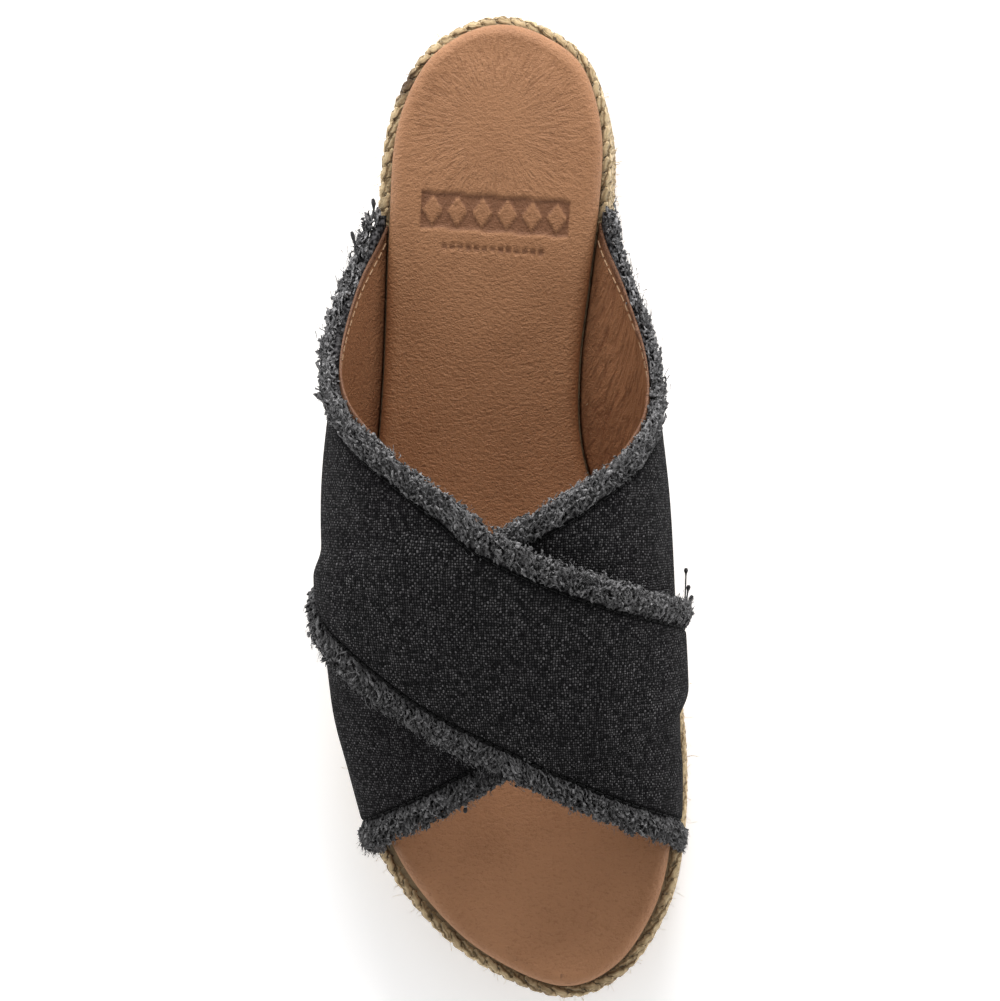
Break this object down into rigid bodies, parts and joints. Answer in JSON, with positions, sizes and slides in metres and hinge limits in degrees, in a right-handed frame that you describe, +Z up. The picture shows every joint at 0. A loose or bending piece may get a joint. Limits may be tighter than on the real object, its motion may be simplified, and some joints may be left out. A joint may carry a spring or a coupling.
{
  "type": "wedge espadrille",
  "caption": "Open-toe wedge espadrille mule with crossed frayed canvas straps, a plaited jute wedge and a padded leather insole, for a right foot.",
  "frame": {"origin": "on the floor under the middle of the insole's length, on the line from the centre of the heel to the centre of the ball, on the outsole's flat underside", "axes": "+X towards the big toe's side, +Y towards the heel, +Z up; the shoe stands on z = 0"},
  "size_m": [0.0975, 0.2606, 0.0981],
  "materials": {
    "outsole_rubber": "matte",
    "jute": "matte",
    "insole_leather": "satin",
    "strap_canvas": "matte",
    "strap_lining": "satin",
    "fringe_yarn": "matte",
    "stitch_thread": "matte"
  },
  "bodies": {
    "root": {"outsole": "outsole_rubber", "jute_platform": "jute", "jute_wedge": "jute", "jute_rim": "jute", "insole": "insole_leather", "upper": "strap_canvas"}
  },
  "joints": []
}
